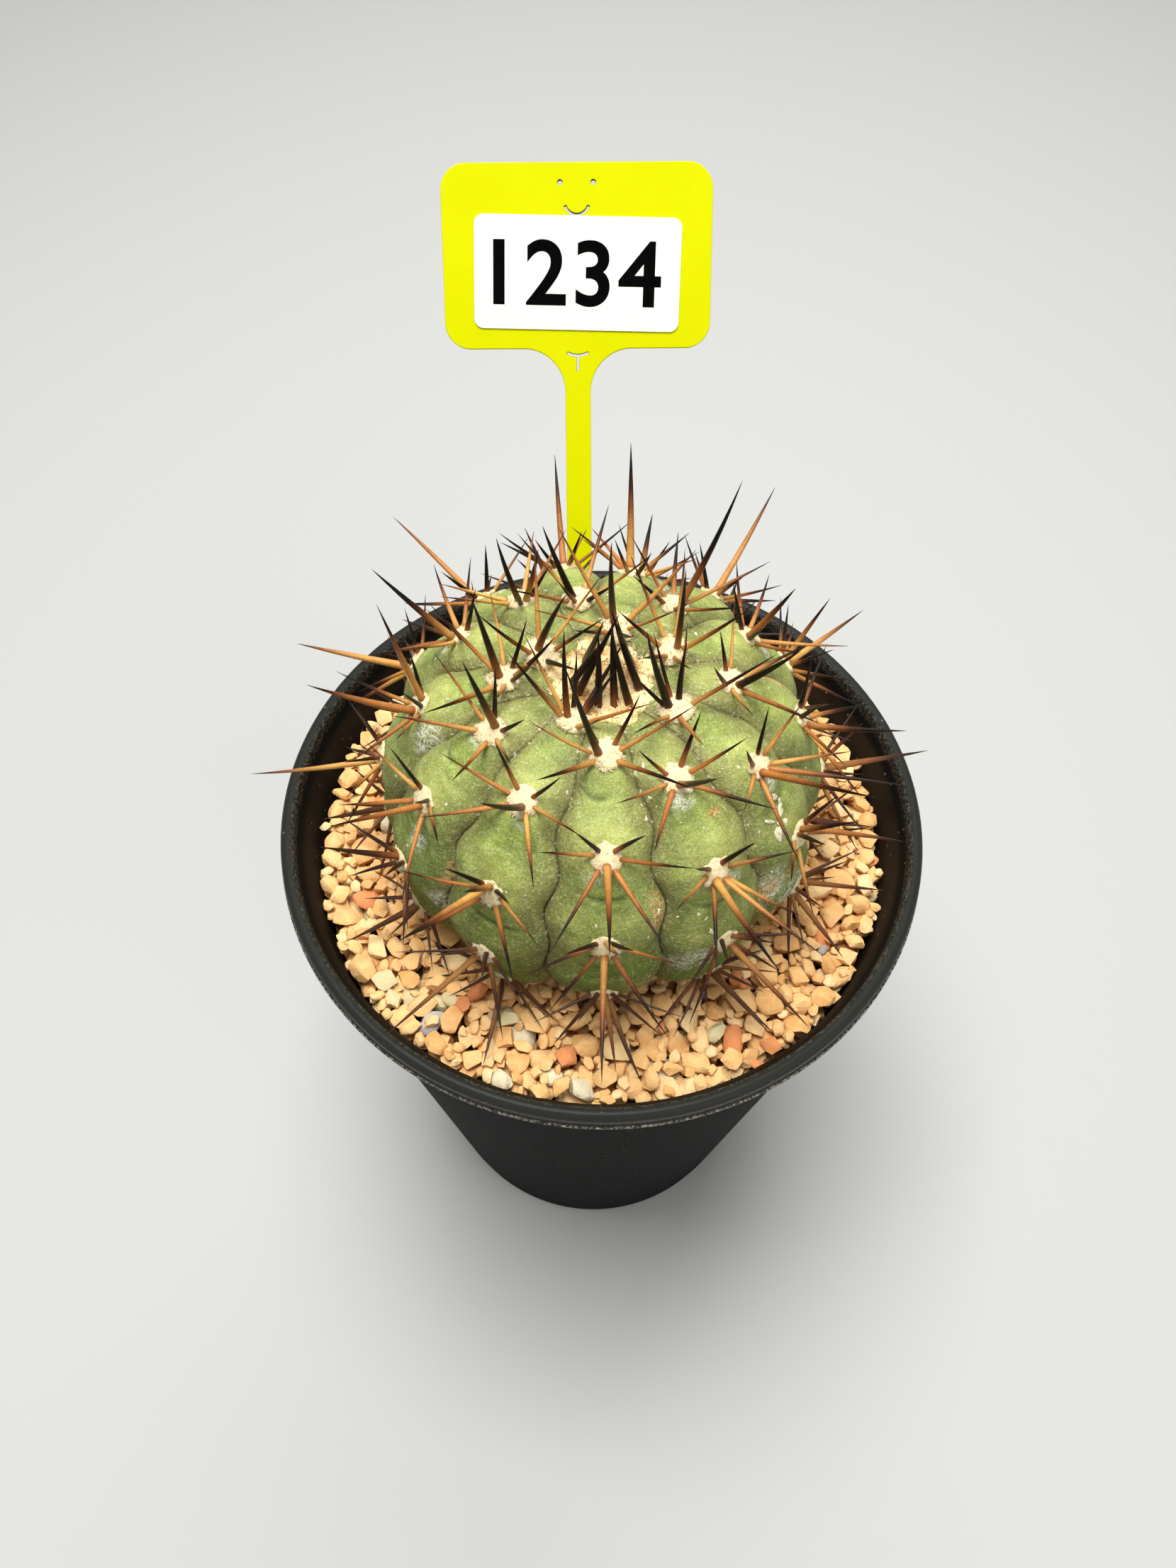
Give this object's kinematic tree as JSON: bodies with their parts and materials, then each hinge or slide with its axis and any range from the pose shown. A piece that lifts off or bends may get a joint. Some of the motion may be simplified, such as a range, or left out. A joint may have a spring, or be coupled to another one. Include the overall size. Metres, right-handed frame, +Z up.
{
  "type": "copiapoa cactus in a pot",
  "caption": "Ribbed globular cactus with felted areoles and stiff spines, growing in a tall black nursery pot topped with grit, with a plastic plant label stuck in behind it.",
  "frame": {"origin": "middle of the pot's flat underside, on the surface that it stands on", "axes": "+Z up; -Y is the front of the plant, and the label stands behind it, towards +Y"},
  "size_m": [0.1007, 0.1374, 0.1704],
  "materials": {
    "pot": "satin",
    "grit": "matte",
    "cactus_skin": "matte",
    "label_plastic": "satin",
    "label_card": "matte"
  },
  "bodies": {
    "root": {"pot": "pot", "grit": "grit", "cactus": "cactus_skin", "plant_label": "label_plastic", "label_card": "label_card"}
  },
  "joints": []
}
